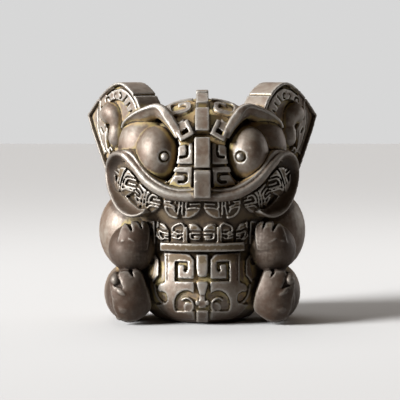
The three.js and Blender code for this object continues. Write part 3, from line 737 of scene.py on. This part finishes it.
def belly_crest():
    shapes = [[(-3.4, 42.6), (-3.4, 36), (-2.7, 30.6), (-1.6, 30), (1.6, 30), (2.7, 30.6), (3.4, 36),
               (3.4, 42.6)],
              [(-3.3, 26), (-2.6, 27), (2.6, 27), (3.3, 26), (2.6, 23), (1.4, 19), (-1.4, 19), (-2.6, 23)],
              [(-3.3, 9.4), (3.3, 9.4), (3.4, 1.4), (-3.4, 1.4)],
              arc(2.9, 14.2, 1.1, 1.5, 0, 330, 11), arc(-2.9, 14.2, 1.1, 1.5, 0, 330, 11),
              [(-1.5, 18.4), (1.5, 18.4), (2.1, 11), (-2.1, 11)]]
    heights = [3.4, 3.2, 3.2, 2.0, 2.0, 1.6]
    return [relief([shape], belly(height)) for shape, height in zip(shapes, heights)]


def tail():
    line = smooth([(0, 33, 4), (0, 38.5, 12), (0, 42, 22), (0, 43.5, 33)], 5)
    ring = arc(0, 0, 4.6, 4.6, 0, 330, 11)
    return [swept(line, lambda along: ring, lambda p, along: Vector((0, 0.9, -0.3)).normalized()),
            ball((0, 43.5, 37), (6.4, 5.6, 8))]


def cast_body():
    """All the beast's solids in one object, still overlapping."""
    cheek = ball((35.5, -7, 85.5), (21, 21.5, 20))
    side = fused([*arm(), *leg(), cheek, *ear(), *eye(), brow(), *teeth(), *belly_relief()])
    plates = fused([*forehead_plates(), *crown_frets(), *brow_curl()])
    skull_whole = skull()
    for sign in (1, -1):
        hollow = socket()
        if sign < 0:
            hollow.data.transform(Matrix.Scale(-1, 4, (1, 0, 0)))
            hollow.data.flip_normals()
        skull_whole = carved(skull_whole, hollow)
    plates = carved(plates, socket())
    torso = ball(TORSO["at"], TORSO["radii"], around=64, down=40)
    return fused([skull_whole, plates, mirrored(plates), side, mirrored(side), jaw(), torso, belly(), *lips(),
                  *crest(), chin_plate(), *belly_crest(), *tail()])


def smoothed(mesh, rounds):
    """Points of the mesh after each has moved to its neighbours' mean this many times."""
    count = len(mesh.vertices)
    points = np.empty(count * 3)
    mesh.vertices.foreach_get("co", points)
    points = points.reshape(-1, 3)
    pairs = np.empty(len(mesh.edges) * 2, dtype=np.int64)
    mesh.edges.foreach_get("vertices", pairs)
    a, b = pairs[0::2], pairs[1::2]
    share = np.bincount(a, minlength=count) + np.bincount(b, minlength=count)
    for _ in range(rounds):
        total = np.empty_like(points)
        for axis in range(3):
            column = points[:, axis]
            total[:, axis] = np.bincount(a, column[b], count) + np.bincount(b, column[a], count)
        points = 0.5 * points + 0.5 * total / share[:, None]
    return points


def apply(piece, name, **settings):
    """Adds one modifier with its settings and applies it."""
    made = piece.modifiers.new(name, name)
    for key, value in settings.items():
        setattr(made, key, value)
    deselect()
    piece.select_set(True)
    bpy.context.view_layer.objects.active = piece
    bpy.ops.object.modifier_apply(modifier=made.name)


def eased(values, zero, one):
    """0 at one value, 1 at the other and past it, and a straight run between."""
    return np.clip((values - zero) / (one - zero), 0, 1)


def cast(piece):
    """Fuses the solids into one skin, softens it as a casting, and thins it to its limit of faces."""
    ground = block((-90, -90, -40), (90, 90, 0))
    apply(piece, "REMESH", mode="VOXEL", voxel_size=GRAIN, adaptivity=0.0)
    piece = carved(piece, ground)
    apply(piece, "SMOOTH", factor=0.5, iterations=2)
    full = points_of(piece.data)
    wear_and_shade = {"edge": standing_out(piece.data, 8), "stand": standing_out(piece.data, 90)}
    pits = bpy.data.textures.new("pits", "CLOUDS")
    pits.noise_scale = 1.6
    pits.noise_depth = 1
    apply(piece, "DISPLACE", texture=pits, strength=0.28, mid_level=0.5)
    faces = sum(len(p.vertices) - 2 for p in piece.data.polygons)
    if faces > FACE_LIMIT:
        apply(piece, "DECIMATE", ratio=FACE_LIMIT / faces)
    finder = KDTree(len(full))
    for n, point in enumerate(full):
        finder.insert(point, n)
    finder.balance()
    nearest = [finder.find(corner.co)[1] for corner in piece.data.vertices]
    for name, values in wear_and_shade.items():
        store(piece.data, name, values[nearest])
    store(piece.data, "closed", enclosure(piece.data))
    for name, values in regions(points_of(piece.data)).items():
        store(piece.data, name, values)
    return piece


def regions(points):
    """Shares from 0 to 1 of marked places: painted shade on the fronts of the hands and feet, the underside,
    the mouth's corners, the nose and the ears' outer rim; dust on the crown; and the mouth.
    """
    x, y, z = points.T
    aside = abs(x)
    front_limbs = eased(aside, 29, 33) * eased(z, 62, 58) * eased(y, -24, -32)
    underside = 0.75 * eased(z, 17, 3)
    in_front = eased(y, -4, -10)
    corner = inside(stroke(smooth(LIP[5:], 4), 12), aside, z) * in_front
    nose = eased(aside, 7, 6.5) * eased(z, 92.6, 91.6) * eased(z, 74, 75) * in_front
    rim = outer_rim(aside, y, z)
    # Painted shade on these places, which the key light misses, and darker towards the bottom
    painted_shade = np.maximum.reduce([front_limbs, underside, 0.8 * corner, 0.5 * nose, 0.7 * rim])
    off_skull = (((points - SKULL["at"]) / SKULL["radii"]) ** 2).sum(axis=1) ** 0.5 - 1
    crown = eased(z, 113, 117) * eased(y, -4, -12) * eased(off_skull, 0.022, 0.010)
    lip = inside(stroke(smooth(LIP, 4), (6.4, 0.2)), aside, z)
    low_corner = corner * eased(z, 86, 78)
    mouth = inside(mouth_opening(), x, z) * (1 - lip) * in_front * (1 - 0.65 * low_corner)
    return {"painted_shade": painted_shade, "crown": crown, "mouth": mouth}


def outer_rim(aside, y, z):
    """The ears' outer edge, as a share from 0 to 1."""
    ear_x, ear_y, ear_z = EAR["at"]
    across = (aside - ear_x) * cos(TURN) + (y - ear_y) * sin(TURN)
    off_plane = abs((aside - ear_x) * sin(TURN) - (y - ear_y) * cos(TURN))
    beyond = 1 - inside(ear_outline(2.2), across, z - ear_z)
    return beyond * eased(across, 2, 3) * eased(off_plane, 4, 3) * eased(z, 84, 87)


def enclosure(mesh, reach=14.0, rays=10):
    """How closed in each point is by what stands round it: 0 in the open, 1 at the bottom of a groove."""
    golden_angle, lift = 2.39996, 0.12
    mesh.calc_loop_triangles()
    tree = BVHTree.FromPolygons([v.co for v in mesh.vertices], [t.vertices for t in mesh.loop_triangles])
    spread = []
    for k in range(rays):
        r, turn = sqrt((k + 0.5) / rays), k * golden_angle
        spread.append((r * cos(turn), r * sin(turn), sqrt(1 - r * r)))
    closed = np.zeros(len(mesh.vertices))
    for n, corner in enumerate(mesh.vertices):
        up = corner.normal
        side = up.orthogonal().normalized()
        other = up.cross(side)
        start = corner.co + up * lift
        for x, y, z in spread:
            distance = tree.ray_cast(start, side * x + other * y + up * z, reach)[3]
            if distance is not None:
                closed[n] += 1 - distance / reach
    return closed / rays


def points_of(mesh, normals=False):
    values = np.empty(len(mesh.vertices) * 3)
    if normals:
        mesh.vertex_normals.foreach_get("vector", values)
    else:
        mesh.vertices.foreach_get("co", values)
    return values.reshape(-1, 3)


def standing_out(mesh, rounds):
    """How far each point stands out of the surface smoothed by these rounds, in millimetres."""
    return ((points_of(mesh) - smoothed(mesh, rounds)) * points_of(mesh, normals=True)).sum(axis=1)


def inside(outline, x, z):
    """1 for each point that lies within the outline as seen from the front, 0 for the others."""
    within = np.zeros(len(x), dtype=bool)
    for (x0, z0), (x1, z1) in zip(outline, outline[1:] + outline[:1]):
        if z0 != z1:
            within ^= ((z0 > z) != (z1 > z)) & (x < (x1 - x0) * (z - z0) / (z1 - z0) + x0)
    return within.astype(float)


def store(mesh, name, values):
    layer = mesh.attributes.new(name, "FLOAT", "POINT")
    layer.data.foreach_set("value", values.astype(np.float32))


statue = cast(cast_body())
statue.data.transform(Matrix.Scale(MM, 4) @ Matrix.Translation((0, CENTRE_SHIFT, 0)))
statue.name = "cast_beast"
statue.data.name = "cast_beast"
deselect()
statue.select_set(True)
bpy.context.view_layer.objects.active = statue
bpy.ops.object.shade_smooth()


# The finish

class Finish:
    """A material's node tree, built up by short calls that return output sockets."""

    def __init__(self, name):
        self.material = bpy.data.materials.new(name)
        self.material.use_nodes = True
        self.tree = self.material.node_tree
        self.shader = self.tree.nodes["Principled BSDF"]

    def join(self, source, target):
        self.tree.links.new(source, target)

    def feed(self, target, value):
        if isinstance(value, bpy.types.NodeSocket):
            self.join(value, target)
        else:
            target.default_value = value

    def math(self, operation, a, b):
        made = self.tree.nodes.new("ShaderNodeMath")
        made.operation = operation
        self.feed(made.inputs[0], a)
        self.feed(made.inputs[1], b)
        return made.outputs[0]

    def plus(self, a, b):
        return self.math("ADD", a, b)

    def times(self, a, b):
        return self.math("MULTIPLY", a, b)

    def most(self, a, b):
        return self.math("MAXIMUM", a, b)

    def less(self, a, b):
        return self.math("SUBTRACT", a, b)

    def attribute(self, name):
        made = self.tree.nodes.new("ShaderNodeAttribute")
        made.attribute_name = name
        return made.outputs["Fac"]

    def ramp(self, value, low, high):
        """0 below low, 1 above high, and an even curve between."""
        made = self.tree.nodes.new("ShaderNodeMapRange")
        made.interpolation_type = "SMOOTHSTEP"
        self.feed(made.inputs["Value"], value)
        made.inputs["From Min"].default_value = low
        made.inputs["From Max"].default_value = high
        return made.outputs["Result"]

    def noise(self, size, detail, rough=0.5):
        """Noise with features of a size in millimetres."""
        place = self.tree.nodes.new("ShaderNodeTexCoord")
        made = self.tree.nodes.new("ShaderNodeTexNoise")
        self.join(place.outputs["Object"], made.inputs["Vector"])
        made.inputs["Scale"].default_value = 1 / (size * MM)
        made.inputs["Detail"].default_value = detail
        made.inputs["Roughness"].default_value = rough
        return made.outputs["Fac"]

    def mix(self, share, a, b):
        made = self.tree.nodes.new("ShaderNodeMix")
        made.data_type = "RGBA"
        self.feed(made.inputs["Factor"], share)
        self.feed(made.inputs["A"], (*a, 1) if isinstance(a, tuple) else a)
        self.feed(made.inputs["B"], (*b, 1) if isinstance(b, tuple) else b)
        return made.outputs["Result"]

    def blend(self, share, a, b):
        made = self.tree.nodes.new("ShaderNodeMix")
        made.data_type = "FLOAT"
        self.feed(made.inputs["Factor"], share)
        self.feed(made.inputs["A"], a)
        self.feed(made.inputs["B"], b)
        return made.outputs["Result"]

    def bump(self, height, distance, strength):
        made = self.tree.nodes.new("ShaderNodeBump")
        self.feed(made.inputs["Height"], height)
        made.inputs["Distance"].default_value = distance * MM
        made.inputs["Strength"].default_value = strength
        self.join(made.outputs["Normal"], self.shader.inputs["Normal"])


BROWN = (0.074, 0.044, 0.026)
GREY = (0.128, 0.104, 0.080)
# Painted shade: the bronze's colour where shade falls
SHADED_BRONZE = (0.021, 0.0105, 0.006)
WORN = (0.22, 0.203, 0.181)
OCHRE = (0.23, 0.155, 0.065)
# Painted shade: the dust's colour where shade falls in the mouth
DUST_IN_SHADE = (0.080, 0.047, 0.019)
OLIVE = (0.27, 0.215, 0.085)
# Painted shade: near black for grooves and closed-in places
GROOVE_SHADE = (0.012, 0.007, 0.004)


def old_bronze():
    """Dark brown bronze, rubbed bright where it stands proud, with dust in hollows, and painted shade in
    grooves, in the mouth and on the places that face away from the light.
    """
    f = Finish("old_bronze")
    edge, stand, closed = (f.attribute(name) for name in ("edge", "stand", "closed"))
    painted_shade, mouth, crown = (f.attribute(name) for name in ("painted_shade", "mouth", "crown"))
    broad, middle, fine = f.noise(22, 2), f.noise(5, 4, 0.6), f.noise(0.9, 3, 0.6)
    uneven = f.less(f.plus(broad, middle), 1.0)

    # Worn edges and rubbed high places, which the places with painted shade and the mouth have less of
    worn = f.ramp(f.plus(edge, f.times(uneven, 0.05)), 0.012, 0.085)
    rubbed = f.ramp(f.plus(stand, f.times(uneven, 0.5)), 0.05, 0.75)
    rubbed = f.times(rubbed, f.less(0.55, f.times(mouth, 0.55)))
    bright = f.times(f.most(worn, rubbed), f.less(1.0, f.ramp(closed, 0.25, 0.6)))
    bright = f.times(bright, f.less(1.0, f.times(painted_shade, 0.65)))

    # Dust where it is sheltered or low, in the mouth and on the crown's ground
    shelter = f.plus(closed, f.times(uneven, 0.22))
    settled = f.most(f.ramp(shelter, 0.13, 0.32), f.ramp(f.times(stand, -1.0), 0.1, 0.6))
    settled = f.most(f.most(settled, f.times(mouth, 0.75)), crown)
    dusty = f.times(settled, f.less(1.0, f.most(worn, painted_shade)))

    # Painted shade, near black, in narrow grooves, in closed-in places and between the teeth's lines
    groove = f.most(f.ramp(f.times(edge, -1.0), 0.03, 0.12), f.ramp(closed, 0.42, 0.68))
    between = f.times(mouth, f.ramp(edge, 0.05, -0.04))
    groove = f.most(groove, f.times(between, 0.8))

    metal = f.mix(f.ramp(uneven, -0.25, 0.25), BROWN, GREY)
    # Painted shade: darker bronze on the shaded places and in the mouth
    metal = f.mix(f.times(f.most(painted_shade, mouth), 0.8), metal, SHADED_BRONZE)
    metal = f.mix(bright, metal, WORN)
    dust = f.mix(f.ramp(f.noise(9, 2), 0.42, 0.58), OCHRE, OLIVE)
    # Painted shade: darker dust in the mouth
    dust = f.mix(f.times(mouth, 0.8), dust, DUST_IN_SHADE)
    colour = f.mix(f.times(dusty, 0.8), metal, dust)
    # Painted shade in the grooves
    colour = f.mix(f.times(groove, 0.92), colour, GROOVE_SHADE)
    f.join(colour, f.shader.inputs["Base Color"])

    dull = f.most(f.times(dusty, 0.9), groove)
    f.join(f.blend(dull, f.blend(bright, 0.4, 0.7), 0.0), f.shader.inputs["Metallic"])
    smooth_metal = f.blend(bright, f.blend(fine, 0.5, 0.62), 0.53)
    f.join(f.blend(dull, smooth_metal, 0.85), f.shader.inputs["Roughness"])
    f.join(f.blend(f.most(dull, painted_shade), 0.8, 0.3), f.shader.inputs["Specular IOR Level"])
    grain = f.plus(f.times(fine, 0.5), f.times(middle, 0.5))
    f.bump(grain, 0.12, 0.6)
    return f.material


statue.data.materials.clear()
statue.data.materials.append(old_bronze())
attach(statue, "root")
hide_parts("beast_statue")


# Floor, light and camera

# The room's light from the front and from behind, its tint, and how bright its wall looks to the camera.
ROOM = 0.065
BEHIND = 0.3
WARM = (1.0, 0.69, 0.43)
BACKDROP = 0.68
FLOOR_GREY = 0.42
SENSOR = 36


def pale_floor():
    bpy.ops.mesh.primitive_plane_add(size=3, location=(0, 1.05, 0))
    ground = bpy.context.active_object
    ground.name = "floor"
    pale = Finish("pale_floor")
    pale.shader.inputs["Base Color"].default_value = (FLOOR_GREY, FLOOR_GREY, FLOOR_GREY, 1)
    pale.shader.inputs["Roughness"].default_value = 0.9
    pale.shader.inputs["Specular IOR Level"].default_value = 0.2
    ground.data.materials.append(pale.material)


def room():
    """Warm light that is stronger from behind, with a plain pale wall where the camera sees it."""
    world = bpy.data.worlds.new("studio")
    bpy.context.scene.world = world
    world.use_nodes = True
    tree = world.node_tree
    place = tree.nodes.new("ShaderNodeTexCoord")
    split = tree.nodes.new("ShaderNodeSeparateXYZ")
    behind = tree.nodes.new("ShaderNodeMapRange")
    behind.interpolation_type = "SMOOTHSTEP"
    tree.links.new(place.outputs["Generated"], split.inputs[0])
    tree.links.new(split.outputs["Y"], behind.inputs["Value"])
    behind.inputs["From Min"].default_value = 0.25
    behind.inputs["From Max"].default_value = 0.85
    behind.inputs["To Min"].default_value = ROOM
    behind.inputs["To Max"].default_value = BEHIND
    seen = tree.nodes.new("ShaderNodeLightPath")
    strength = tree.nodes.new("ShaderNodeMix")
    tree.links.new(seen.outputs["Is Camera Ray"], strength.inputs["Factor"])
    tree.links.new(behind.outputs["Result"], strength.inputs["A"])
    strength.inputs["B"].default_value = BACKDROP
    tree.links.new(strength.outputs["Result"], tree.nodes["Background"].inputs["Strength"])
    tint = tree.nodes.new("ShaderNodeMix")
    tint.data_type = "RGBA"
    tree.links.new(seen.outputs["Is Camera Ray"], tint.inputs["Factor"])
    tint.inputs["A"].default_value = (*WARM, 1)
    tint.inputs["B"].default_value = (1, 1, 1, 1)
    tree.links.new(tint.outputs["Result"], tree.nodes["Background"].inputs["Color"])


def lamp(name, at, size, power):
    """A square panel of light that faces the middle of the beast."""
    data = bpy.data.lights.new(name, "AREA")
    data.size = size
    data.energy = power
    made = bpy.data.objects.new(name, data)
    bpy.context.scene.collection.objects.link(made)
    made.location = at
    made.rotation_euler = (Vector((0, 0, 0.07)) - Vector(at)).to_track_quat("-Z", "Y").to_euler()


def sun(towards, strength, softness):
    data = bpy.data.lights.new("key", "SUN")
    data.energy = strength
    data.angle = radians(softness)
    made = bpy.data.objects.new("key", data)
    bpy.context.scene.collection.objects.link(made)
    made.location = towards
    made.rotation_euler = Vector(towards).to_track_quat("Z", "Y").to_euler()


def camera():
    data = bpy.data.cameras.new("camera")
    made = bpy.data.objects.new("camera", data)
    bpy.context.scene.collection.objects.link(made)
    bpy.context.scene.camera = made
    lift = radians(ELEVATION)
    back = Vector((0, -cos(lift), sin(lift)))
    aim = Vector(AIM) + Vector((0, CENTRE_SHIFT, 0))
    made.location = (aim + back * DISTANCE) * MM
    made.rotation_euler = back.to_track_quat("Z", "Y").to_euler()
    data.sensor_width = SENSOR
    data.lens = SENSOR * DISTANCE / (IMAGE * PIXEL)


pale_floor()
room()
bpy.context.scene.view_settings.view_transform = "Standard"
sun((-0.88, -0.37, 0.36), 12.4, 26)
lamp("left_panel", (-0.95, -0.25, 0.3), 0.8, 6)
lamp("top_panel", (-0.1, 0.3, 0.8), 0.5, 3)
lamp("right_rim", (0.75, 0.5, 0.25), 0.3, 1.5)
camera()
